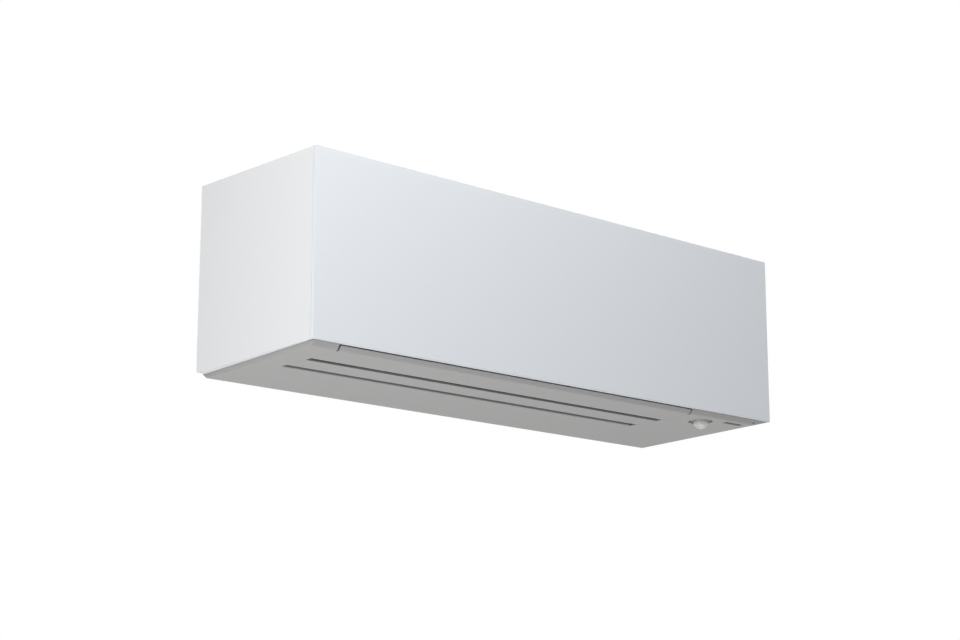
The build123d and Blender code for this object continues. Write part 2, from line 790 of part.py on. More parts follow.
def beyond_end(side, front_width, rise):
    """What lies outside one end and below its bevel, with the bevel's face raised by `rise`."""
    beyond = lower_half + 1
    ends = []
    for y, bevel_width in ((front_y, front_width), (0, bevel_rear)):
        end_x = inner_half - flange_width(y) - loose
        foot_x = end_x - bevel_width
        with BuildSketch(Plane.XZ.offset(-y)) as end:
            with BuildLine():
                Polyline(
                    (side * end_x, band_top[1] + 1),
                    (side * end_x, side_bottom_z(y) - loose + rise),
                    (side * foot_x, under_z(y) + rise),
                    (side * foot_x, under_rear_z - 1),
                    (side * beyond, under_rear_z - 1),
                    (side * beyond, band_top[1] + 1),
                    close=True,
                )
            make_face()
        ends.append(end.sketch)
    return ends


bevels = ((-1, bevel_left), (1, bevel_right))

# the hollow above the floor, open towards the wall
with BuildPart() as lower_hollow:
    prism(
        [
            (pocket_front[0], band_top[1] + 1),
            (pocket_front[1], floor_z(pocket_front[1])),
            (1, floor_z(1)),
            (1, band_top[1] + 1),
        ],
        -lower_half + rim_inset,
        lower_half - rim_inset,
    )
    for side, front_width in bevels:
        loft(beyond_end(side, front_width, lower_wall), ruled=True, mode=Mode.SUBTRACT)

with BuildPart() as lower_casing:
    with BuildSketch(Plane.YZ.offset(-lower_half)) as lower_face:
        with BuildLine():
            Polyline(*lower_profile, close=True)
        make_face()
        fillet(lower_face.vertices().sort_by_distance(band_foot)[0], band_round)
    extrude(amount=2 * lower_half)
    add(lower_hollow.part, mode=Mode.SUBTRACT)
    # outlet, through the band and the floor
    block(
        (outlet_left, outlet_right),
        (front_y - 1, groove_back_y),
        (under_rear_z - 1, band_top[1] + 1),
        mode=Mode.SUBTRACT,
    )
    # slit beside the front flap's left end
    block(
        (outlet_left - lip_notch, outlet_left),
        (front_y - 1, band_foot[0] + notch_reach),
        (under_rear_z - 1, band_top[1] + 1),
        mode=Mode.SUBTRACT,
    )
    groove_edge = (duct_middle, groove_back_y, under_z(groove_back_y))
    fillet(lower_casing.edges().filter_by(Axis.X).sort_by_distance(groove_edge)[0], groove_round)
    # back wall of the groove, up to the rear guide
    wall_back_y = groove_back_y + lower_wall
    prism(
        [
            (groove_back_y, floor_z(groove_back_y) - 1),
            (groove_back_y, behind_guide_z(groove_back_y)),
            (wall_back_y, behind_guide_z(wall_back_y)),
            (wall_back_y, floor_z(wall_back_y) - 1),
        ],
        outlet_left + loose,
        outlet_right - loose,
    )
    # screw bosses behind the front frame
    for x in screw_places:
        block(
            (x - boss_width / 2, x + boss_width / 2),
            (frame_back_y, frame_back_y + boss_depth),
            (floor_z(frame_back_y + boss_depth) - 1, screw_z + 8),
        )
        with Locations(Plane((x, frame_back_y - 1, screw_z), x_dir=(1, 0, 0), z_dir=(0, 1, 0))):
            Cylinder(
                screw_radius + running,
                screw_length,
                align=up,
                mode=Mode.SUBTRACT,
            )
    # posts for the display board
    for x in post_places:
        with Locations((x, sensor_y + 5.0, floor_z(sensor_y + 5.0) - 1)):
            Cylinder(post_radius, display_rise + 1, align=up)
    # slanting ends, bevelled beside the underside
    for side, front_width in bevels:
        loft(beyond_end(side, front_width, 0), ruled=True, mode=Mode.SUBTRACT)
    # holes for the sensor, the window and the indicator dot
    with Locations((sensor_x, sensor_y, sensor_z)):
        Cylinder(sensor_radius, 20, mode=Mode.SUBTRACT)
    block(
        (window_left, window_left + window_length),
        (window_y, window_y + window_depth),
        (under_rear_z - 1, floor_z(window_y) + 2),
        mode=Mode.SUBTRACT,
    )
    with Locations(band_plane(dot_x, dot_rise)):
        Cylinder(dot_radius, 12, mode=Mode.SUBTRACT)
save(lower_casing.part, "lower_casing")

# ---------------------------------------------------------------- flaps
flap_x = (outlet_left + end_gap, outlet_right - end_gap)
arm_ends = (flap_x[0], flap_x[1] - flap_arm)
front_flap_to = front_y + front_flap_depth
lip_z = panel_bottom_z - flap_gap
lip_y = band_foot[0] + (band_top[0] - band_foot[0]) * (lip_z - band_foot[1]) / (band_top[1] - band_foot[1])

with BuildPart() as front_flap:
    with BuildSketch(Plane.YZ.offset(flap_x[0])) as flap_face:
        with BuildLine():
            Polyline(
                (lip_y, lip_z),
                band_foot,
                (front_flap_to, under_z(front_flap_to)),
                (front_flap_to, under_z(front_flap_to) + flap_wall),
                (band_foot[0] + flap_wall, under_z(band_foot[0]) + flap_wall),
                (lip_y + flap_wall * 0.9, lip_z),
                close=True,
            )
        make_face()
        fillet(flap_face.vertices().sort_by_distance(band_foot)[0], band_round)
        fillet(flap_face.vertices().sort_by_distance((lip_y, lip_z))[0], lip_round)
    extrude(amount=flap_x[1] - flap_x[0])
    # slit at the right end
    block(
        (flap_x[1] - lip_notch, flap_x[1]),
        (front_y, band_foot[0] + notch_reach),
        (under_rear_z, panel_bottom_z),
        mode=Mode.SUBTRACT,
    )
    for x in arm_ends:
        prism(
            [
                (front_flap_to - 2, under_z(front_flap_to) + 1),
                (front_axis[0] + flap_hub - 1, front_axis[1]),
                (front_axis[0] - flap_hub + 1, front_axis[1]),
                (front_axis[0] - 30, under_z(front_axis[0] - 30) + 1),
            ],
            x,
            x + flap_arm,
        )
        rod(front_axis, flap_hub, x, x + flap_arm)
    rod(front_axis, flap_pin, partition_left - 1.5, flap_x[0] + 1)
    rod(front_axis, flap_shaft + running, flap_x[1] - flap_shaft_length, flap_x[1] + 1, mode=Mode.SUBTRACT)
save(front_flap.part, "front_flap")

with BuildPart() as rear_flap:
    with BuildSketch(Plane.YZ.offset(flap_x[0])) as flap_face:
        with BuildLine():
            Polyline(
                (rear_flap_from, under_z(rear_flap_from)),
                (rear_flap_to, under_z(rear_flap_to)),
                (rear_flap_to, under_z(rear_flap_to) + flap_wall),
                (rear_flap_from, under_z(rear_flap_from) + flap_wall),
                close=True,
            )
        make_face()
        fillet(flap_face.vertices().sort_by_distance((rear_flap_to, under_z(rear_flap_to)))[0], 2.0)
    extrude(amount=flap_x[1] - flap_x[0])
    for x in arm_ends:
        prism(
            [
                (rear_flap_to - 3, under_z(rear_flap_to) + 1),
                (rear_axis[0] + flap_hub - 1, rear_axis[1]),
                (rear_axis[0] - flap_hub + 1, rear_axis[1]),
                (rear_axis[0] - 24, under_z(rear_axis[0] - 24) + 1),
            ],
            x,
            x + flap_arm,
        )
        rod(rear_axis, flap_hub, x, x + flap_arm)
    rod(rear_axis, flap_pin, partition_left - 1.5, flap_x[0] + 1)
    rod(rear_axis, flap_shaft + running, flap_x[1] - flap_shaft_length, flap_x[1] + 1, mode=Mode.SUBTRACT)
save(rear_flap.part, "rear_flap")

# ---------------------------------------------------------------- flap motors
for axis, name in ((front_axis, "front_flap_motor"), (rear_axis, "rear_flap_motor")):
    with BuildPart() as flap_motor:
        rod(axis, flap_motor_radius, partition_right, partition_right + flap_motor_length)
        rod(axis, flap_shaft, flap_x[1] - flap_shaft_length + loose, partition_right + 1)
        ear = flap_motor_radius + 7.0
        with BuildSketch(Plane.YZ.offset(partition_right)):
            with Locations(axis):
                SlotOverall(2 * ear, 8, rotation=0)
        extrude(amount=1.5)
    save(flap_motor.part, name)

# ---------------------------------------------------------------- front air guide
tongue = on_fan(fan_radius + tongue_gap, tongue_angle)
guide_exit = (front_y + front_guide_inset, under_z(front_y + front_guide_inset) + front_guide_rise)
guide_length = hypot(tongue[0] - guide_exit[0], tongue[1] - guide_exit[1])
guide_normal = (
    (guide_exit[1] - tongue[1]) / guide_length,
    (tongue[0] - guide_exit[0]) / guide_length,
)


def above_guide(share, rise):
    """A Y-Z point above the front air guide, from its lip (0) to its outlet end (1)."""
    return (
        tongue[0] + share * (guide_exit[0] - tongue[0]) + rise * guide_normal[0],
        tongue[1] + share * (guide_exit[1] - tongue[1]) + rise * guide_normal[1],
    )


def guide_share_at(z, rise):
    """Where the surface `rise` above the front guide reaches this height."""
    return (z - tongue[1] - rise * guide_normal[1]) / (guide_exit[1] - tongue[1])


with BuildPart() as air_guide:
    with BuildSketch(Plane.YZ.offset(outlet_left)) as guide_face:
        with BuildLine():
            Polyline(
                tongue,
                guide_exit,
                above_guide(1, front_guide_wall),
                above_guide(0, front_guide_wall),
                close=True,
            )
        make_face()
        fillet(guide_face.vertices().sort_by_distance(tongue)[0], front_guide_wall * 0.8)
    extrude(amount=outlet_length)
save(air_guide.part, "air_guide")

# ---------------------------------------------------------------- drain pan and its foam
pan_x = (outlet_left - pan_overhang, outlet_right + pan_overhang)
pan_lip_z = pan_z + pan_depth
spout_start = pan_back_y + 1.0
spout_z = pan_z + spout_root
drain_spout_x = pan_x[0] + spout_root
capped_spout_x = pan_x[1] - spout_root

with BuildPart() as drain_pan:
    prism(
        [
            (pan_front_y, pan_lip_z),
            (pan_front_y, pan_z),
            (pan_floor_y, pan_z),
            (pan_back_y, pan_z + pan_step),
            (pan_back_y, pan_z + pan_step + pan_lip),
            (pan_floor_y, pan_z + pan_step + pan_lip),
            (pan_floor_y, pan_lip_z),
        ],
        pan_x[0],
        pan_x[1],
    )
    prism(
        [
            (pan_front_y + pan_wall, pan_lip_z + 1),
            (pan_front_y + pan_wall, pan_z + pan_wall),
            (pan_floor_y - 0.9, pan_z + pan_wall),
            (pan_back_y - pan_wall, pan_z + pan_step + 1.2),
            (pan_back_y - pan_wall, pan_lip_z + 1),
        ],
        pan_x[0] + pan_wall,
        pan_x[1] - pan_wall,
        mode=Mode.SUBTRACT,
    )
    for x, length in ((drain_spout_x, spout_length), (capped_spout_x, capped_spout_length)):
        root_from = pan_floor_y - 1.0
        with Locations(Plane((x, root_from, spout_z), x_dir=(1, 0, 0), z_dir=(0, 1, 0))):
            Cylinder(spout_root, spout_start - root_from, align=up)
            Cylinder(spout_radius, spout_start - root_from + length, align=up)
            Cylinder(
                spout_radius - spout_wall,
                spout_start - root_from + length + 1,
                align=up,
                mode=Mode.SUBTRACT,
            )
save(drain_pan.part, "drain_pan")

with BuildPart() as drain_cap:
    with Locations(Plane((capped_spout_x, spout_start, spout_z), x_dir=(1, 0, 0), z_dir=(0, 1, 0))):
        Cylinder(spout_radius + cap_wall, capped_spout_length + cap_wall, align=up)
        Cylinder(spout_radius + running, capped_spout_length, align=up, mode=Mode.SUBTRACT)
save(drain_cap.part, "drain_cap")

with BuildPart() as pan_insulation:
    foam_start = above_guide(guide_share_at(pan_z, front_guide_wall), front_guide_wall)
    foam_end_share = guide_share_at(pan_z - foam_depth, front_guide_wall)
    foam_end = above_guide(foam_end_share, front_guide_wall)
    prism(
        [
            (foam_start[0] - 2, pan_z),
            (pan_front_y, pan_z),
            (pan_front_y, foam_end[1]),
            foam_end,
            above_guide(guide_share_at(pan_z - 2, front_guide_wall), front_guide_wall),
        ],
        outlet_left + loose,
        outlet_right - loose,
    )
save(pan_insulation.part, "pan_insulation")

# ---------------------------------------------------------------- heat exchanger
hole_radius = tube_radius + tube_clearance
bridge_z = (fan_z + 42.0, top_z - apex_drop - 20.0)


def bank_point(foot, apex, z):
    """The Y-Z point at height z on a bank's middle line."""
    return (foot[0] + (apex[0] - foot[0]) * (z - foot[1]) / (apex[1] - foot[1]), z)


for foot, apex, places, name in (
    (front_foot, front_apex, front_tube_places, "coil_front"),
    (rear_foot, rear_apex, rear_tube_places, "coil_rear"),
):
    with BuildPart() as bank:
        prism(bank_outline(foot, apex, 1), coil_left, coil_right)
        for place in places:
            rod(place, hole_radius, coil_left - 1, coil_right + 1, mode=Mode.SUBTRACT)
    save(bank.part, name)

for x, name in ((outlet_left, "tube_sheet_left"), (coil_right, "tube_sheet_right")):
    with BuildPart() as tube_sheet:
        prism(bank_outline(front_foot, front_apex, 1, sheet_margin), x, x + sheet_wall)
        prism(bank_outline(rear_foot, rear_apex, 1, sheet_margin), x, x + sheet_wall)
        prism(
            [
                bank_point(front_foot, front_apex, bridge_z[0]),
                bank_point(front_foot, front_apex, bridge_z[1]),
                bank_point(rear_foot, rear_apex, bridge_z[1]),
                bank_point(rear_foot, rear_apex, bridge_z[0]),
            ],
            x,
            x + sheet_wall,
        )
        rod((fan_y, fan_z), sheet_hole, x - 1, x + sheet_wall + 1, mode=Mode.SUBTRACT)
        for place in all_tube_places:
            rod(place, hole_radius, x - 1, x + sheet_wall + 1, mode=Mode.SUBTRACT)
    save(tube_sheet.part, name)

hairpin_left = outlet_left - 3.0


def bend_path(first, second, x, side):
    """A half turn between two tube centres, bulging towards -X (side -1) or +X (side +1)."""
    middle = ((first[0] + second[0]) / 2, (first[1] + second[1]) / 2)
    bulge = (x + side * tube_pitch / 2, *middle)
    return ThreePointArc((x, *first), bulge, (x, *second))


hairpins = []
for places in (front_tube_places, rear_tube_places):
    for i in range(0, len(places), 2):
        first, second = places[i], places[i + 1]
        with BuildPart() as hairpin:
            with BuildLine():
                Line((tube_end, *first), (hairpin_left, *first))
                bend_path(first, second, hairpin_left, -1)
                Line((hairpin_left, *second), (tube_end, *second))
            with BuildSketch(Plane.YZ.offset(tube_end) * Pos(*first)):
                Circle(tube_radius)
            sweep()
        hairpins.append(hairpin.part)
save(Compound(children=hairpins), "hairpin_tubes")

bends = []
for places in (front_tube_places, rear_tube_places):
    for i in range(1, len(places) - 1, 2):
        with BuildPart() as bend:
            with BuildLine():
                bend_path(places[i], places[i + 1], tube_end, 1)
            with BuildSketch(Plane.YZ.offset(tube_end) * Pos(*places[i])):
                Circle(tube_radius)
            sweep()
        bends.append(bend.part)
save(Compound(children=bends), "return_bends")

# ---------------------------------------------------------------- refrigerant pipes
pipe_drop_x = tube_end + pipe_drop
gas_level_z = under_rear_z + gas_pipe_rise
liquid_level_z = under_rear_z + liquid_pipe_rise
gas_y = -gas_pipe_back
liquid_y = -liquid_pipe_back
gas_start = front_tube_places[0]
liquid_start = rear_tube_places[0]

union_y = -union_back - union_thread - union_body

for start, radius, y, z, union_x, bend, name in (
    (gas_start, gas_pipe_radius, gas_y, gas_level_z, gas_union_x, pipe_bend, "gas_pipe"),
    (liquid_start, liquid_pipe_radius, liquid_y, liquid_level_z, liquid_union_x, pipe_bend / 2, "liquid_pipe"),
):
    with BuildPart() as pipe:
        with BuildLine():
            FilletPolyline(
                (tube_end, *start),
                (pipe_drop_x, *start),
                (pipe_drop_x, start[0] + 8.0, z),
                (pipe_drop_x - bend + 1.0, y, z),
                (union_x, y, z),
                (union_x, union_y, z),
                radius=bend,
            )
        with BuildSketch(Plane.YZ.offset(tube_end) * Pos(*start)):
            Circle(radius)
        sweep()
    save(pipe.part, name)

unions = []
for radius, x, z in (
    (gas_union_radius, gas_union_x, gas_level_z),
    (liquid_union_radius, liquid_union_x, liquid_level_z),
):
    with BuildPart() as union:
        with BuildSketch(Plane((x, union_y, z), x_dir=(1, 0, 0), z_dir=(0, 1, 0))):
            RegularPolygon(radius + union_flat, 6)
        extrude(amount=union_body)
        with Locations(Plane((x, union_y + union_body, z), x_dir=(1, 0, 0), z_dir=(0, 1, 0))):
            Cylinder(radius, union_thread, align=up)
    unions.append(union.part)
save(Compound(children=unions), "pipe_unions")

# ---------------------------------------------------------------- cross-flow fan
fan_x = (outlet_left + fan_end_gap, outlet_right - fan_end_gap)
segment = (fan_x[1] - fan_x[0] - fan_disc_wall) / fan_segments
disc_places = [fan_x[0] + i * segment for i in range(fan_segments + 1)]
blade_tip = fan_radius - 1.0
blade_camber = 2.0
end_holes = {0: stub_shaft + running, fan_segments: motor_shaft + running}

with BuildSketch() as blade_section:
    with BuildLine():
        blade_out = Vector(blade_tip, 0)
        blade_in = Vector(fan_blade_root, 0).rotate(Axis.Z, fan_blade_sweep / 2)
        SagittaArc(blade_out, blade_in, blade_camber)
        SagittaArc(blade_out, blade_in, blade_camber + fan_blade_wall)
    make_face()

with BuildPart() as fan_rotor:
    with BuildSketch(Plane.YZ.offset(fan_x[0])):
        with Locations((fan_y, fan_z)):
            with PolarLocations(0, fan_blades):
                add(blade_section.sketch)
    extrude(amount=fan_x[1] - fan_x[0])
    for i, x in enumerate(disc_places):
        disc_hole = end_holes.get(i, fan_ring_inner)
        with BuildSketch(Plane.YZ.offset(x)):
            with Locations((fan_y, fan_z)):
                Circle(fan_radius)
                Circle(disc_hole, mode=Mode.SUBTRACT)
        extrude(amount=fan_disc_wall)
save(fan_rotor.part, "fan_rotor")

bearing_left = partition_left - 2.5

with BuildPart() as fan_shaft:
    rod((fan_y, fan_z), stub_shaft, bearing_left - 2, fan_x[0] + fan_disc_wall)
    chamfer(fan_shaft.edges().filter_by(GeomType.CIRCLE), 0.6)
save(fan_shaft.part, "fan_shaft")

with BuildPart() as fan_bearing:
    rod((fan_y, fan_z), bearing_radius, bearing_left, bearing_left + bearing_length)
    rod((fan_y, fan_z), stub_shaft + running, bearing_left - 1, bearing_left + bearing_length + 1, Mode.SUBTRACT)
save(fan_bearing.part, "fan_bearing")

with BuildPart() as bearing_holder:
    rod((fan_y, fan_z), holder_radius + 8, bearing_left, partition_left)
    rod((fan_y, fan_z), holder_radius, bearing_left, outlet_left + fan_end_gap / 2)
    rod((fan_y, fan_z), bearing_radius + running, bearing_left - 1, outlet_left + fan_end_gap, Mode.SUBTRACT)
save(bearing_holder.part, "bearing_holder")

# ---------------------------------------------------------------- fan motor and its bracket
motor_left = partition_right + 6.0
bracket_wall = 3.0
bracket_ear = 58.0

with BuildPart() as fan_motor:
    rod((fan_y, fan_z), motor_radius, motor_left, motor_left + motor_length)
    fillet(fan_motor.edges().filter_by(GeomType.CIRCLE), 4.0)
    rod((fan_y, fan_z), 16.0, motor_left + motor_length, motor_left + motor_length + 5)
    rod((fan_y, fan_z), motor_shaft + running, motor_left - 1, motor_left + motor_shaft_depth + 0.5, Mode.SUBTRACT)
save(fan_motor.part, "fan_motor")

with BuildPart() as motor_shaft_part:
    rod((fan_y, fan_z), motor_shaft, fan_x[1] - fan_disc_wall, motor_left + motor_shaft_depth)
save(motor_shaft_part.part, "motor_shaft")

with BuildPart() as motor_bracket:
    with BuildSketch(Plane.YZ.offset(partition_right)):
        with Locations((fan_y, fan_z)):
            Circle(motor_radius + loose + bracket_wall)
            SlotOverall(2 * bracket_ear, 14, rotation=-30)
            Circle(motor_shaft + 6, mode=Mode.SUBTRACT)
            with PolarLocations(bracket_ear - 6, 2, start_angle=-30):
                Circle(2.2, mode=Mode.SUBTRACT)
    extrude(amount=2.5)
    rod((fan_y, fan_z), motor_radius + loose + bracket_wall, partition_right + 2.5, motor_left + 30)
    rod((fan_y, fan_z), motor_radius + loose, partition_right + 2.5, motor_left + 31, Mode.SUBTRACT)
save(motor_bracket.part, "motor_bracket")

# ---------------------------------------------------------------- vanes, link rods and vane motors
vane_outline = [
    in_duct(vane_pivot_run - 18, 3),
    in_duct(vane_pivot_run - 18, vane_reach - 2),
    in_duct(vane_pivot_run + 48, vane_reach),
    in_duct(vane_pivot_run + 12, 3),
]
groups = {"left": vane_places[:vanes_per_group], "right": vane_places[vanes_per_group:]}
masters = {"left": 0, "right": vanes_per_group - 1}
socket_depth = 7.0

for side, places in groups.items():
    for i, x in enumerate(places):
        is_master = i == masters[side]
        with BuildPart() as vane:
            with BuildSketch(Plane.YZ.offset(x - vane_wall / 2)) as blade_face:
                with BuildLine():
                    Polyline(*vane_outline, close=True)
                make_face()
                fillet(blade_face.vertices(), 2.5)
            extrude(amount=vane_wall)
            with Locations(across_duct(x, vane_pivot_run, 0.5)):
                Cylinder(vane_hub, 12, align=up)
            if is_master:
                with Locations(across_duct(x, vane_pivot_run, 0)):
                    Cylinder(vane_pin + running, 0.5 + socket_depth, align=up, mode=Mode.SUBTRACT)
            else:
                with Locations(across_duct(x, vane_pivot_run, 1 - guide_wall)):
                    Cylinder(vane_pin, guide_wall, align=up)
            with Locations(across_duct(x, crank_run, vane_reach - 6)):
                Cylinder(crank_pin, crank_pin_length + 6, align=up)
        save(vane.part, f"vane_{side}_{i + 1}")

    with BuildPart() as link:
        link_from = across_duct((places[0] + places[-1]) / 2, crank_run, vane_reach + 1.5)
        with BuildSketch(link_from):
            SlotOverall(places[-1] - places[0] + link_width + 2, link_width)
        extrude(amount=link_wall)
        for i, x in enumerate(places):
            pin_clearance = running if i == masters[side] else loose
            with Locations(across_duct(x, crank_run, vane_reach)):
                Cylinder(crank_pin + pin_clearance, link_wall + 4, align=up, mode=Mode.SUBTRACT)
    save(link.part, f"vane_link_{side}")

    with BuildPart() as vane_motor:
        x = places[masters[side]]
        with Locations(across_duct(x, vane_pivot_run, -guide_wall - vane_motor_length)):
            Cylinder(vane_motor_radius, vane_motor_length, align=up)
        with Locations(across_duct(x, vane_pivot_run, -guide_wall - 1)):
            Cylinder(vane_pin, guide_wall + 1 + socket_depth, align=up)
    save(vane_motor.part, f"vane_motor_{side}")

# ---------------------------------------------------------------- control box
box_left = half - box_side
box_right = chassis_side - chassis_side_wall
box_front_y = front_y + box_inset
box_back_y = box_front_y + box_depth
box_bottom = under_rear_z + box_rise
box_top = box_bottom + box_height
board_face_y = box_back_y - box_wall - board_gap
cover_y = (box_front_y - cover_wall, box_front_y)

with BuildPart() as control_box:
    block((box_left, box_right), (box_front_y, box_back_y), (box_bottom, box_top))
    block(
        (box_left + box_wall, box_right - box_wall),
        (box_front_y - 1, box_back_y - box_wall),
        (box_bottom + box_wall, box_top - box_wall),
        mode=Mode.SUBTRACT,
    )
    for x in (box_left + 12, box_right - 12):
        for z in (box_bottom + 14, box_top - 14):
            with Locations(Plane((x, board_face_y, z), x_dir=(1, 0, 0), z_dir=(0, 1, 0))):
                Cylinder(post_radius, board_gap + 1, align=up)
save(control_box.part, "control_box")

with BuildPart() as control_cover:
    block((box_left, box_right), cover_y, (box_bottom, box_top))
    for z in (box_top - 20, box_top - 34, box_top - 48):
        block((box_left + 15, box_right - 15), (cover_y[0] - 1, cover_y[1] + 1), (z - 2, z + 2), mode=Mode.SUBTRACT)
save(control_cover.part, "control_cover")

with BuildPart() as circuit_board:
    board_x = (box_left + box_wall + 2, box_right - box_wall - 2)
    board_z = (box_bottom + box_wall + 2, box_top - box_wall - 2)
    block(board_x, (board_face_y - board_wall, board_face_y), board_z)
    component_y = board_face_y - board_wall + 0.2
    for i in range(3):
        with Locations(Plane((board_x[0] + 20 + 28 * i, component_y, board_z[0] + 30), z_dir=(0, -1, 0))):
            Cylinder(9.0, 28.0, align=up)
    block((board_x[0] + 15, board_x[1] - 15), (component_y - 18, component_y), (board_z[0] + 60, board_z[0] + 85))
    block((board_x[0] + 20, board_x[0] + 50), (component_y - 12, component_y), (board_z[1] - 40, board_z[1] - 10))
save(circuit_board.part, "circuit_board")

with BuildPart() as terminal_block:
    block((box_left + 22, box_right - 26), (cover_y[0] - 13, cover_y[0]), (box_bottom + 12, box_bottom + 34))
    for i in range(4):
        x = box_left + 22 + 8 + i * 14
        with Locations(Plane((x, cover_y[0] - 14, box_bottom + 23), x_dir=(1, 0, 0), z_dir=(0, 1, 0))):
            Cylinder(3.5, 6.0, align=up, mode=Mode.SUBTRACT)
save(terminal_block.part, "terminal_block")

# ---------------------------------------------------------------- sensor, display window and indicator
bezel_radius = sensor_radius - 0.2
bezel_flange = sensor_radius + 4.0
bezel_top = floor_z(sensor_y) + 2.0
dish_z = sensor_z + sensor_floor

with BuildPart() as sensor_bezel:
    with BuildSketch(Plane.XZ.offset(-sensor_y)):
        with BuildLine():
            Polyline(
                (sensor_x + dome_radius + loose, dish_z),
                (sensor_x + bezel_radius - bezel_rim, sensor_z + sensor_step),
                (sensor_x + bezel_radius - bezel_rim, sensor_z + 0.2),
                (sensor_x + bezel_radius, sensor_z + 0.2),
                (sensor_x + bezel_radius, floor_z(sensor_y) + 0.5),
                (sensor_x + bezel_flange, floor_z(sensor_y) + 0.5),
                (sensor_x + bezel_flange, bezel_top),
                (sensor_x + dome_radius + loose, bezel_top + 3.0),
                close=True,
            )
        make_face()
    revolve(axis=Axis((sensor_x, sensor_y, 0), (0, 0, 1)))
save(sensor_bezel.part, "sensor_bezel")

with BuildPart() as sensor_dome:
    with Locations((sensor_x, sensor_y, sensor_z)):
        Sphere(dome_radius)
        Cylinder(dome_radius, dome_radius, align=up)
        Sphere(dome_radius - dome_wall, mode=Mode.SUBTRACT)
        Cylinder(dome_radius - dome_wall, dome_radius, align=up, mode=Mode.SUBTRACT)
        with Locations((0, 0, sensor_floor + 3.0)):
            Box(4 * dome_radius, 4 * dome_radius, 2 * dome_radius, align=up, mode=Mode.SUBTRACT)
save(sensor_dome.part, "sensor_dome")

board_under = floor_z(sensor_y + 5.0) + display_rise

with BuildPart() as display_board:
    block((sensor_x - 20, window_left + window_length + 28), (sensor_y - 16, sensor_y + 16), (board_under, board_under + board_wall))
    with Locations((sensor_x, sensor_y, board_under)):
        Cylinder(4.0, 5.0, align=(Align.CENTER, Align.CENTER, Align.MAX))
    block((window_left + 4, window_left + 16), (sensor_y - 16, sensor_y - 10), (board_under - 4, board_under))
save(display_board.part, "display_board")

with BuildPart() as display_window:
    block(
        (window_left + 0.2, window_left + window_length - 0.2),
        (window_y + 0.2, window_y + window_depth - 0.2),
        (under_z(window_y) + 0.1, under_z(window_y) + window_wall),
    )
save(display_window.part, "display_window")

with BuildPart() as indicator_lens:
    with Locations(band_plane(dot_x, dot_rise)):
        Cylinder(dot_radius - running, 3.0, align=(Align.CENTER, Align.CENTER, Align.MAX))
save(indicator_lens.part, "indicator_lens")

# ---------------------------------------------------------------- emergency button and screws
with BuildPart() as emergency_button:
    with Locations(Plane((button_x, casing_front_y, button_z), x_dir=(1, 0, 0), z_dir=(0, 1, 0))):
        Cylinder(button_radius, frame_wall + 5, align=up)
    with Locations(Plane((button_x, frame_back_y, button_z), x_dir=(1, 0, 0), z_dir=(0, 1, 0))):
        Cylinder(button_radius + 1.5, 1.5, align=up)
save(emergency_button.part, "emergency_button")

screws = []
for x in screw_places:
    with BuildPart() as screw:
        with Locations(Plane((x, casing_front_y - screw_head_height, screw_z), x_dir=(1, 0, 0), z_dir=(0, 1, 0))):
            Cylinder(screw_head, screw_head_height, align=up)
            Cylinder(screw_radius, screw_head_height + screw_length - 1.5, align=up)
        with Locations((x, casing_front_y - screw_head_height, screw_z)):
            Box(5, 1.2, 1, mode=Mode.SUBTRACT)
            Box(1, 1.2, 5, mode=Mode.SUBTRACT)
    screws.append(screw.part)
save(Compound(children=screws), "casing_screws")
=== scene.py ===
# %% [markdown]
# # A wall-hung mini split indoor unit
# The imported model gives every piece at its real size, in metres, with the wall in the plane Y = 0 and
# the front towards -Y. This lesson dresses those pieces: it rounds the edges of the moulded shells,
# builds the fins and filter nets that are too fine for the solid model, and gives each piece a finish.

import json
from math import inf, pi, radians

import bmesh
import bpy
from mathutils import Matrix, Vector
from mathutils.geometry import convex_hull_2d

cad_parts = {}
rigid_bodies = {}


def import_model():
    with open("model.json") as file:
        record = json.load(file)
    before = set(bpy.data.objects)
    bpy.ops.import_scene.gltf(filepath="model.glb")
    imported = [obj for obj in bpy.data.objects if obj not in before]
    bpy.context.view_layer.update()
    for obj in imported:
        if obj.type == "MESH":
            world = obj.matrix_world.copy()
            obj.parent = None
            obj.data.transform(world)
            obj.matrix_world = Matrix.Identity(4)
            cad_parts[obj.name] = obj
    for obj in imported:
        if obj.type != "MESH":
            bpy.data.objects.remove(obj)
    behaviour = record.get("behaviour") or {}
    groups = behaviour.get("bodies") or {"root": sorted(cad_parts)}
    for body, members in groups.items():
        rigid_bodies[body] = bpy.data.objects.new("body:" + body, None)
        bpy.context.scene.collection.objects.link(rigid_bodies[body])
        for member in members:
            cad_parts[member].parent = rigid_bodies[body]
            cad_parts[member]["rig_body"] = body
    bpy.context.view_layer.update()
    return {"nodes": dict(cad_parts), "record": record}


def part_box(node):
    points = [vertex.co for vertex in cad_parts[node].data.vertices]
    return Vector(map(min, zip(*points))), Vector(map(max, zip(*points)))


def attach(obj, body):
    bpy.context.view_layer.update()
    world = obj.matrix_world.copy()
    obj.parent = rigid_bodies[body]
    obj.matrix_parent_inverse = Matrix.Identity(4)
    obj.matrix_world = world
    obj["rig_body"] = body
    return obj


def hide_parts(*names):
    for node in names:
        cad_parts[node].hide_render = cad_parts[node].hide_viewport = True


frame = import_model()
nodes = frame["nodes"]
MM = 0.001

# %% [markdown]
# ## Camera
# The unit hangs above eye level, so the camera stands low on its left and looks up. A long lens keeps
# the sides nearly parallel, as in a product picture. The place and angles come from fitting the body's
# corners; the lens shift stays at zero so that every other view stays centred too.

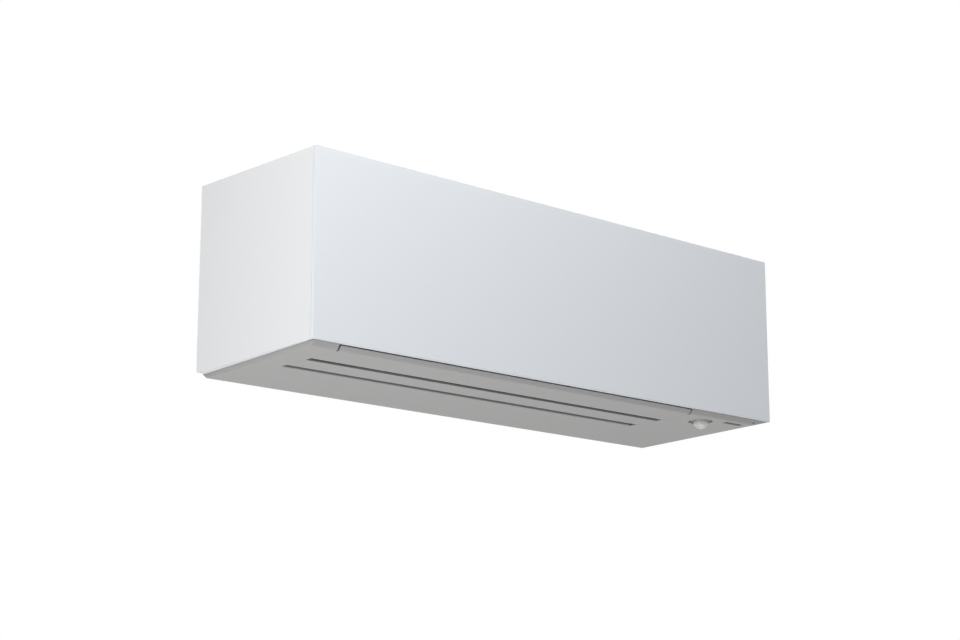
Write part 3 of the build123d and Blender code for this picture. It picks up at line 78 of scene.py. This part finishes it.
# %% Place the camera
panel_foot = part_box("front_panel")[0].z
camera_yaw = 0.743
camera_pitch = 0.225
camera_drop = 0.6423  # below the panel's foot
camera_from = Vector((-2.3196, -2.6157, panel_foot - camera_drop))
sensor_width = 36.0
focal_length = 76.8
camera_data = bpy.data.cameras.new("camera")
camera_data.sensor_width = sensor_width
camera_data.lens = focal_length
camera = bpy.data.objects.new("camera", camera_data)
camera.location = camera_from
camera.rotation_euler = (pi / 2 + camera_pitch, 0, -camera_yaw)
bpy.context.scene.collection.objects.link(camera)
bpy.context.scene.camera = camera
bpy.context.scene.view_settings.view_transform = "Standard"
print("camera at", [round(v, 3) for v in camera_from], "lens", focal_length)

# %% [markdown]
# ## Shader wires
# A material is easier to read as arithmetic than as a list of nodes. `Wire` wraps an output socket, and
# adding or multiplying wires adds the Math nodes. `Tree` holds a node tree: its `node` method makes any
# other node from its type, its settings and its inputs. `Finish` is the tree of one material.


# %% Wires and finishes
class Wire:
    """An output socket that can be used in arithmetic."""

    def __init__(self, tree, socket):
        self.tree = tree
        self.socket = socket

    def math(self, operation, first, second):
        return self.tree.node("Math", {"operation": operation}, {0: first, 1: second})

    def __add__(self, other):
        return self.math("ADD", self, other)

    __radd__ = __add__

    def __rsub__(self, other):
        return self.math("SUBTRACT", other, self)

    def __mul__(self, other):
        return self.math("MULTIPLY", self, other)

    __rmul__ = __mul__


class Tree:
    """A node tree, emptied so that it can be built up from wires."""

    def __init__(self, node_tree):
        self.node_tree = node_tree
        node_tree.nodes.clear()

    def node(self, kind, settings=None, inputs=None, output=0):
        """Adds a node of this type, sets it, joins its inputs and returns one output."""
        made = self.node_tree.nodes.new("ShaderNode" + kind)
        for key, value in (settings or {}).items():
            if key == "stops":
                for stop, (where, colour) in zip(made.color_ramp.elements, value):
                    stop.position = where
                    stop.color = (*colour, 1)
            else:
                setattr(made, key, value)
        for key, value in (inputs or {}).items():
            if isinstance(value, Wire):
                self.node_tree.links.new(value.socket, made.inputs[key])
            else:
                made.inputs[key].default_value = value
        return Wire(self, made.outputs[output]) if made.outputs else None

    def background_rays(self):
        """1 for rays that show the background: from the camera, off gloss or through clear plastic."""
        missed = 1
        for kind in ("Camera", "Glossy", "Transmission"):
            missed = missed * (1 - self.node("LightPath", output=f"Is {kind} Ray"))
        return 1 - missed


class Finish(Tree):
    """One procedural material."""

    def __init__(self, name):
        self.material = bpy.data.materials.new(name)
        self.material.use_nodes = True
        super().__init__(self.material.node_tree)

    def place(self, scale=(1, 1, 1)):
        """Object coordinates in metres, stretched by a scale."""
        coordinates = self.node("TexCoord", output="Object")
        return self.node("Mapping", {}, {"Vector": coordinates, "Scale": scale})

    def noise(self, size, detail=2.0, scale=(1, 1, 1)):
        """Soft noise from 0 to 1 whose blotches are about this size in metres."""
        inputs = {"Vector": self.place(scale), "Scale": 1 / size, "Detail": detail, "Roughness": 0.5}
        return self.node("TexNoise", {}, inputs)

    def cells(self, size, output, randomness=1.0):
        """Voronoi cells about this size in metres: their distance or their own colour."""
        inputs = {"Vector": self.place(), "Scale": 1 / size, "Randomness": randomness}
        return self.node("TexVoronoi", {"feature": "F1"}, inputs, output=output)

    def ramp(self, amount, first, last):
        """A colour between two stops, each a place and a colour, read at a wire."""
        return self.node("ValToRGB", {"stops": [first, last]}, {0: amount})

    def shade(self, colour, amount):
        """A colour made lighter or darker by a wire that stays near 1."""
        return self.node(
            "Mix",
            {"data_type": "RGBA", "blend_type": "MULTIPLY"},
            {"Factor": 1.0, "A": (*colour, 1), "B": amount},
            output="Result",
        )

    def shader(self, bump=None, depth=0.0, **inputs):
        """A Principled shader; bump is a height wire and depth its reach in metres."""
        values = {}
        for key, value in inputs.items():
            values[key.replace("_", " ").title().replace("Ior", "IOR")] = value
        if bump is not None:
            relief = {"Height": bump, "Distance": depth, "Strength": 1.0}
            values["Normal"] = self.node("Bump", {}, relief)
        return self.node("BsdfPrincipled", {}, values, output="BSDF")

    def surface(self, **inputs):
        """Ends the material in a Principled shader and returns it."""
        self.node("OutputMaterial", {}, {"Surface": self.shader(**inputs)})
        return self.material


print("wires ready")

# %% [markdown]
# ## Moulded plastics
# Every shell is injection moulded. Its tool is spark eroded, which leaves a fine even grain, and the
# colour drifts very slightly where the melt flowed. One recipe makes them all: a grain in the bump, a
# slow drift in colour and a matching drift in roughness.


# %% Moulded plastic recipe
def moulded(name, colour, roughness, grain=0.7 * MM, depth=0.03 * MM, drift=0.03, specular=0.5):
    """Plastic with a spark-eroded grain."""
    finish = Finish(name)
    cloud = finish.noise(0.16, detail=3.0)
    speck = finish.noise(grain, detail=1.0)
    tone = 1 - drift / 2 + drift * cloud
    tint = finish.node("CombineColor", {}, {0: tone, 1: tone, 2: tone})
    return finish.surface(
        bump=speck,
        depth=depth,
        base_color=finish.shade(colour, tint),
        roughness=roughness - 0.04 + 0.05 * cloud + 0.03 * speck,
        specular_ior_level=specular,
    )


finishes = {
    "panel_white": moulded(
        "panel_white", (0.778, 0.812, 0.85), 0.36, depth=0.01 * MM, drift=0.012
    ),
    "white_plastic": moulded("white_plastic", (0.782, 0.796, 0.811), 0.46, drift=0.015),
    # The casing and flaps under the unit: their grey is partly the plastic's own slightly greyish tone
    # and partly painted shade of the underside, which the lamps light about as brightly as the front.
    "grey_plastic": moulded("grey_plastic", (0.388, 0.383, 0.38), 0.5),
    "black_plastic": moulded(
        "black_plastic", (0.01, 0.01, 0.011), 0.6, drift=0.2, specular=0.1
    ),
    "dark_plastic": moulded(
        "dark_plastic", (0.016, 0.016, 0.017), 0.6, drift=0.2, specular=0.2
    ),
    "motor_cream": moulded("motor_cream", (0.62, 0.61, 0.57), 0.4, drift=0.05),
}
print("moulded plastics:", ", ".join(finishes))

# %% [markdown]
# ## Rubber, foam and net
# The bearing and the drain cap are dull rubber with a slight bloom. The pan sits on expanded foam, whose
# beads show as rounded cells. The filter net is woven from a smooth dark thread.


# %% Soft materials
def rubber():
    finish = Finish("rubber")
    bloom = finish.noise(0.004, detail=4.0)
    return finish.surface(
        bump=bloom,
        depth=0.06 * MM,
        base_color=finish.ramp(bloom, (0.3, (0.012, 0.012, 0.012)), (0.8, (0.03, 0.03, 0.031))),
        roughness=0.75 + 0.12 * bloom,
    )


def foam():
    finish = Finish("foam")
    beads = finish.cells(3.2 * MM, "Distance", randomness=0.9)
    return finish.surface(
        bump=1 - beads,
        depth=0.5 * MM,
        base_color=finish.ramp(beads, (0.2, (0.78, 0.78, 0.76)), (0.75, (0.62, 0.62, 0.6))),
        roughness=0.8 + 0.1 * beads,
    )


finishes["rubber"] = rubber()
finishes["foam"] = foam()
finishes["net"] = moulded("net", (0.03, 0.032, 0.036), 0.42, grain=0.4 * MM, drift=0.3)
print("soft materials ready")

# %% [markdown]
# ## Metals
# The mounting plate and tube sheets are zinc-coated, with the faint crystal spangle of hot dipping. The
# fins are rolled aluminium, streaked along the sheet. Copper tube darkens in patches as it oxidises, and
# the turned brass and steel keep the fine rings of the tool.


# %% Metal recipes
def zinc():
    finish = Finish("zinc_steel")
    shade = finish.node("SeparateColor", {}, {0: finish.cells(11.0 * MM, "Color")})
    scratch = finish.noise(0.02, detail=5.0, scale=(1, 1, 18))
    return finish.surface(
        bump=scratch,
        depth=0.02 * MM,
        base_color=finish.ramp(shade, (0.0, (0.5, 0.52, 0.53)), (1.0, (0.66, 0.68, 0.69))),
        metallic=1.0,
        roughness=0.32 + 0.14 * shade + 0.08 * scratch,
    )


def metal(name, dark, light, roughness, streak):
    """Bare metal between two shades, streaked by a stretched noise."""
    finish = Finish(name)
    cloud = finish.noise(0.03, detail=4.0)
    line = finish.noise(0.002, detail=2.0, scale=streak)
    return finish.surface(
        bump=line,
        depth=0.012 * MM,
        base_color=finish.ramp(cloud, (0.3, dark), (0.7, light)),
        metallic=1.0,
        roughness=roughness - 0.06 + 0.12 * cloud + 0.08 * line,
    )


finishes["zinc_steel"] = zinc()
METALS = {  # dark shade, light shade, roughness, streaks
    "steel": ((0.46, 0.46, 0.47), (0.6, 0.6, 0.61), 0.28, (6, 1, 1)),
    "fins": ((0.62, 0.64, 0.65), (0.78, 0.8, 0.81), 0.34, (1, 1, 12)),
    "copper": ((0.55, 0.22, 0.12), (0.82, 0.42, 0.27), 0.3, (0.1, 1, 1)),
    "brass": ((0.6, 0.42, 0.16), (0.78, 0.6, 0.3), 0.26, (1, 8, 1)),
}
for name, (dark, light, roughness, streak) in METALS.items():
    finishes[name] = metal(name, dark, light, roughness, streak)
print("metals:", ", ".join(METALS))

# %% [markdown]
# ## Board, dome and window
# The circuit boards carry a green mask over copper tracks. The sensor's dome is milky plastic that
# scatters light, and the display hides behind a smoked window that looks nearly black when it is off.


# %% Board, dome and window
def board():
    finish = Finish("board_green")
    layout = {"Vector": finish.place(), "Scale": 120.0, "Mortar Size": 0.06}
    colours = {
        "Color1": (0.02, 0.12, 0.05, 1),
        "Color2": (0.025, 0.15, 0.06, 1),
        "Mortar": (0.06, 0.3, 0.12, 1),
    }
    tracks = finish.node("TexBrick", {"offset": 0.5}, {**layout, **colours}, output="Color")
    ridge = finish.node("TexBrick", {"offset": 0.5}, layout, output="Fac")
    roughness = 0.22 + 0.12 * ridge
    return finish.surface(bump=ridge, depth=0.04 * MM, base_color=tracks, roughness=roughness)


def dome():
    finish = Finish("dome_clear")
    haze = finish.noise(0.006, detail=2.0)
    return finish.surface(
        bump=haze,
        depth=0.02 * MM,
        base_color=finish.ramp(haze, (0.3, (0.54, 0.54, 0.53)), (0.8, (0.68, 0.68, 0.67))),
        roughness=0.16 + 0.06 * haze,
        coat_weight=1.0,
        coat_roughness=0.12,
    )


def window():
    finish = Finish("window_smoke")
    haze = finish.noise(0.01, detail=2.0)
    return finish.surface(
        bump=haze,
        depth=0.01 * MM,
        base_color=finish.ramp(haze, (0.2, (0.05, 0.05, 0.042)), (0.9, (0.07, 0.07, 0.058))),
        roughness=0.3 + 0.05 * haze,
        specular_ior_level=0.03,
    )


finishes["board_green"] = board()
finishes["dome_clear"] = dome()
finishes["window_smoke"] = window()
print(len(finishes), "finishes")

# %% [markdown]
# ## Give every piece its finish
# The record names a material slot for each piece. The finish of that slot takes the place of the plain
# colour that the solid came with.

# %% Dress the solids
slot_of = {entry["node"]: entry["material_slot"] for entry in frame["record"]["subparts"]}
for name, piece in nodes.items():
    piece.data.materials.clear()
    piece.data.materials.append(finishes[slot_of[name]])
print("dressed", len(nodes), "pieces in", len(set(slot_of.values())), "finishes")

# %% [markdown]
# ## Moulded edges
# A solid model has knife-sharp corners, but a moulded shell never does: the mould's edges are broken, so
# each corner catches a thin line of light. A copy of the solid is merged back into whole faces, its long
# sharp edges are rounded, and the copy stands in for the node. The panel's foot is rounded more.


# %% Rounded copies of the shells
SAME_PLACE = 0.002 * MM  # corners this close are one corner
FLAT_ANGLE = radians(0.5)  # faces that meet at less are one face
SHARP_ANGLE = radians(25)  # edges that turn by more are broken
SHORTEST_EDGE = 20.0 * MM  # and only when they are longer than this
SLACK = 0.1 * MM  # for finding the corners on a piece's own end


def whole_form(name):
    """A bmesh of a node with its loose triangles merged into flat faces."""
    form = bmesh.new()
    form.from_mesh(nodes[name].data)
    bmesh.ops.remove_doubles(form, verts=form.verts, dist=SAME_PLACE)
    bmesh.ops.dissolve_limit(form, angle_limit=FLAT_ANGLE, verts=form.verts, edges=form.edges)
    return form


def finished(form, name, body, finish, *stands_for, smooth=32.0):
    """Turns a bmesh into a piece that rides on a body and stands for CAD nodes."""
    mesh = bpy.data.meshes.new(name)
    form.to_mesh(mesh)
    form.free()
    mesh.polygons.foreach_set("use_smooth", [True] * len(mesh.polygons))
    mesh.set_sharp_from_angle(angle=radians(smooth))
    piece = bpy.data.objects.new(name, mesh)
    bpy.context.scene.collection.objects.link(piece)
    mesh.materials.append(finishes[finish])
    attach(piece, body)
    if stands_for:
        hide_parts(*stands_for)
    return piece


def sharp_edges(form, below=inf):
    """The long sharp edges; with a height, only those of the front face that lie below it."""
    front = min(vert.co.y for vert in form.verts) + SLACK if below < inf else inf
    return [
        edge
        for edge in form.edges
        if len(edge.link_faces) == 2
        and edge.calc_face_angle(0) > SHARP_ANGLE
        and edge.calc_length() > SHORTEST_EDGE
        and all(vert.co.y < front and vert.co.z < below for vert in edge.verts)
    ]


def soften(node, radius, segments=3, foot_radius=None):
    """A copy of a node whose long sharp edges are rounded, its front foot by more."""
    form = whole_form(node)
    rounds = [(radius, segments, inf)]
    if foot_radius:
        rounds.insert(0, (foot_radius, segments + 2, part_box(node)[0].z + SLACK))
    count = 0
    for offset, steps, below in rounds:
        edges = sharp_edges(form, below)
        count += len(edges)
        bmesh.ops.bevel(
            form,
            geom=edges,
            offset=offset,
            affect="EDGES",
            segments=steps,
            profile=0.5,
            material=-1,
            clamp_overlap=True,
        )
    faces = len(form.faces)
    piece = finished(form, f"{node}_shell", nodes[node]["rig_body"], slot_of[node], node)
    normals = piece.modifiers.new("even shading", "WEIGHTED_NORMAL")
    normals.keep_sharp = True
    print(node, "rounded", count, "edges,", faces, "faces")


soften("front_panel", 0.6 * MM, foot_radius=2.2 * MM)
soften("front_casing", 0.7 * MM)
soften("lower_casing", 0.7 * MM)
soften("front_flap", 0.6 * MM)
soften("rear_flap", 0.6 * MM)
soften("top_grille", 0.5 * MM, segments=2)
soften("filter_frame_left", 0.6 * MM, segments=2)
soften("filter_frame_right", 0.6 * MM, segments=2)
soften("mounting_plate", 0.4 * MM, segments=2)

# %% [markdown]
# ## Heat exchanger fins
# The solid model gives each bank as one block. The real bank is a stack of aluminium sheets pushed
# over the copper tubes, about two millimetres apart. Every sheet has the block's end outline, so the
# outline is read from the block and repeated along it.

# %% Stack the fins
FIN_PITCH = 2.0 * MM
FIN_WALL = 0.2 * MM


def end_outline(node):
    """The corners of a block's left end, as (Y, Z) pairs in order."""
    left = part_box(node)[0].x + SLACK
    ends = [vert.co for vert in nodes[node].data.vertices if vert.co.x < left]
    flat = [Vector((co.y, co.z)) for co in ends]
    return [flat[index] for index in convex_hull_2d(flat)]


def fin_stack(name, node):
    """Thin sheets with a block's outline, repeated along X."""
    low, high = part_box(node)
    outline = end_outline(node)
    length = high.x - low.x - FIN_WALL
    count = int(length / FIN_PITCH)
    spare = (length - count * FIN_PITCH) / 2
    form = bmesh.new()
    corners = [form.verts.new((low.x + spare, y, z)) for y, z in outline]
    sheet = form.faces.new(corners)
    grown = bmesh.ops.extrude_face_region(form, geom=[sheet])["geom"]
    risen = [part for part in grown if isinstance(part, bmesh.types.BMVert)]
    bmesh.ops.translate(form, verts=risen, vec=(FIN_WALL, 0, 0))
    first = form.verts[:] + form.edges[:] + form.faces[:]
    for step in range(1, count + 1):
        copy = bmesh.ops.duplicate(form, geom=first)["geom"]
        moved = [part for part in copy if isinstance(part, bmesh.types.BMVert)]
        bmesh.ops.translate(form, verts=moved, vec=(step * FIN_PITCH, 0, 0))
    bmesh.ops.recalc_face_normals(form, faces=form.faces)
    finished(form, name, nodes[node]["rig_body"], slot_of[node], node)
    print(name, count + 1, "fins of", len(outline), "corners")


fin_stack("fins_front", "coil_front")
fin_stack("fins_rear", "coil_rear")

# %% [markdown]
# ## Filter nets
# Each filter holds a net woven one over, one under. A thread is a four-sided strand whose height swings
# up and down once for every two threads it crosses, and neighbouring threads swing the other way.

# %% Weave the nets
THREAD_PITCH = 4.0 * MM
THREAD_RADIUS = 0.22 * MM


def strand(form, points, across):
    """A four-sided thread through these points; `across` is the sideways direction."""
    up = Vector((0, 0, THREAD_RADIUS))
    side = across * THREAD_RADIUS
    offsets = (side, up, -side, -up)
    rings = [[form.verts.new(point + offset) for offset in offsets] for point in points]
    for here, ahead in zip(rings, rings[1:]):
        for edge in range(4):
            onward = (edge + 1) % 4
            form.faces.new((here[edge], here[onward], ahead[onward], ahead[edge]))
    form.faces.new(reversed(rings[0]))
    form.faces.new(rings[-1])


def woven_net(name, node):
    """A net of crossing threads that fills the box of a flat node."""
    low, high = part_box(node)
    middle = (low.z + high.z) / 2
    swing = (high.z - low.z) / 2 - THREAD_RADIUS
    length = high.x - low.x - 2 * THREAD_RADIUS
    width = high.y - low.y - 2 * THREAD_RADIUS
    columns = int(length / THREAD_PITCH)
    rows = int(width / THREAD_PITCH)
    step_x = length / columns
    step_y = width / rows
    corner = Vector((low.x + THREAD_RADIUS, low.y + THREAD_RADIUS, middle))

    def crossing(column, row, sign):
        height = sign * swing * (1 if (column + row) % 2 else -1)
        return corner + Vector((column * step_x, row * step_y, height))

    form = bmesh.new()
    for column in range(columns + 1):
        points = [crossing(column, row, 1) for row in range(rows + 1)]
        strand(form, points, Vector((1, 0, 0)))
    for row in range(rows + 1):
        points = [crossing(column, row, -1) for column in range(columns + 1)]
        strand(form, points, Vector((0, 1, 0)))
    bmesh.ops.recalc_face_normals(form, faces=form.faces)
    faces = len(form.faces)
    finished(form, name, nodes[node]["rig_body"], slot_of[node], node, smooth=60.0)
    print(name, columns + 1, "by", rows + 1, "threads,", faces, "faces")


woven_net("net_left", "filter_net_left")
woven_net("net_right", "filter_net_right")

# %% [markdown]
# ## Light and background
# The picture is a soft studio shot on white. A wide lamp above the front and a key lamp near the front
# left corner light the panel, so it darkens towards its right end and towards its foot. Two lamps light
# the left side, a small one reaches up to the grey casing's left end, and a wide one over the floor
# lifts the underside. One more, beyond the far end, keeps that end white in other views. The sky gives
# an even fill. Rays that show the background see a white sky and a floor that glows pale, so the
# background is white without putting more light on the object.


# %% Lamps, sky and floor
def lamp(name, place, aim, size, power):
    """A square area lamp at a place, aimed at a point."""
    data = bpy.data.lights.new(name, "AREA")
    data.size = size
    data.energy = power
    lamp_object = bpy.data.objects.new(name, data)
    lamp_object.location = place
    towards = Vector(aim) - Vector(place)
    lamp_object.rotation_euler = towards.to_track_quat("-Z", "Y").to_euler()
    lamp_object.visible_camera = False
    bpy.context.scene.collection.objects.link(lamp_object)


LAMPS = {  # place, aim, side length, watts
    "key": ((-1.1, -1.5, 1.2), (-0.4, -0.25, 0.0), 1.0, 14.9),
    "top_front": ((-0.3, -1.0, 1.6), (0.0, -0.3, 0.1), 1.2, 15.6),
    "side": ((-3.0, -0.6, 0.3), (-0.5, -0.2, 0.0), 1.6, 5.2),
    "side_near": ((-1.5, -0.6, 0.2), (-0.5, -0.2, 0.0), 0.8, 5.0),
    "floor_glow": ((0.0, -0.6, -2.0), (0.0, -0.3, 0.0), 2.4, 19.4),
    "low_left": ((-1.2, -0.4, -1.1), (-0.5, -0.15, -0.15), 0.6, 4.7),
    "far_side": ((2.6, 0.3, 1.2), (0.5, -0.15, 0.0), 1.6, 24.0),
}
for name, (place, aim, size, power) in LAMPS.items():
    lamp(name, place, aim, size, power)

sky_fill = 0.286
world = bpy.data.worlds.new("sky")
world.use_nodes = True
bpy.context.scene.world = world
sky = Tree(world.node_tree)
strength = sky_fill + (1 - sky_fill) * sky.background_rays()
white_sky = {"Color": (1, 1, 1, 1), "Strength": strength}
background = sky.node("Background", {}, white_sky, output="Background")
sky.node("OutputWorld", {}, {"Surface": background})

floor_height = -4.2
floor_reach = 60.0
floor_colour = (0.86, 0.86, 0.86, 1)
floor_pale = (0.95, 0.95, 0.95, 1)
pale_share = 0.75  # of the floor's look to the camera


def pale_floor():
    """A plain floor that looks pale to the camera and still takes the object's shadow."""
    finish = Finish("floor")
    dust = finish.noise(0.02, detail=1.0)
    lit = finish.shader(bump=dust, depth=0.2 * MM, base_color=floor_colour, roughness=0.9)
    glow = finish.node("Emission", {}, {"Color": floor_pale, "Strength": 1.0}, output="Emission")
    share = pale_share * finish.background_rays()
    both = finish.node("MixShader", {}, {0: share, 1: lit, 2: glow}, output="Shader")
    finish.node("OutputMaterial", {}, {"Surface": both})
    return finish.material


floor_form = bmesh.new()
bmesh.ops.create_grid(floor_form, x_segments=1, y_segments=1, size=floor_reach)
bmesh.ops.translate(floor_form, verts=floor_form.verts, vec=(0, 0, floor_height))
floor_mesh = bpy.data.meshes.new("floor")
floor_form.to_mesh(floor_mesh)
floor_form.free()
floor = bpy.data.objects.new("floor", floor_mesh)
bpy.context.scene.collection.objects.link(floor)
finishes["floor"] = pale_floor()
floor_mesh.materials.append(finishes["floor"])
print(len(LAMPS), "lamps, floor at", floor_height)
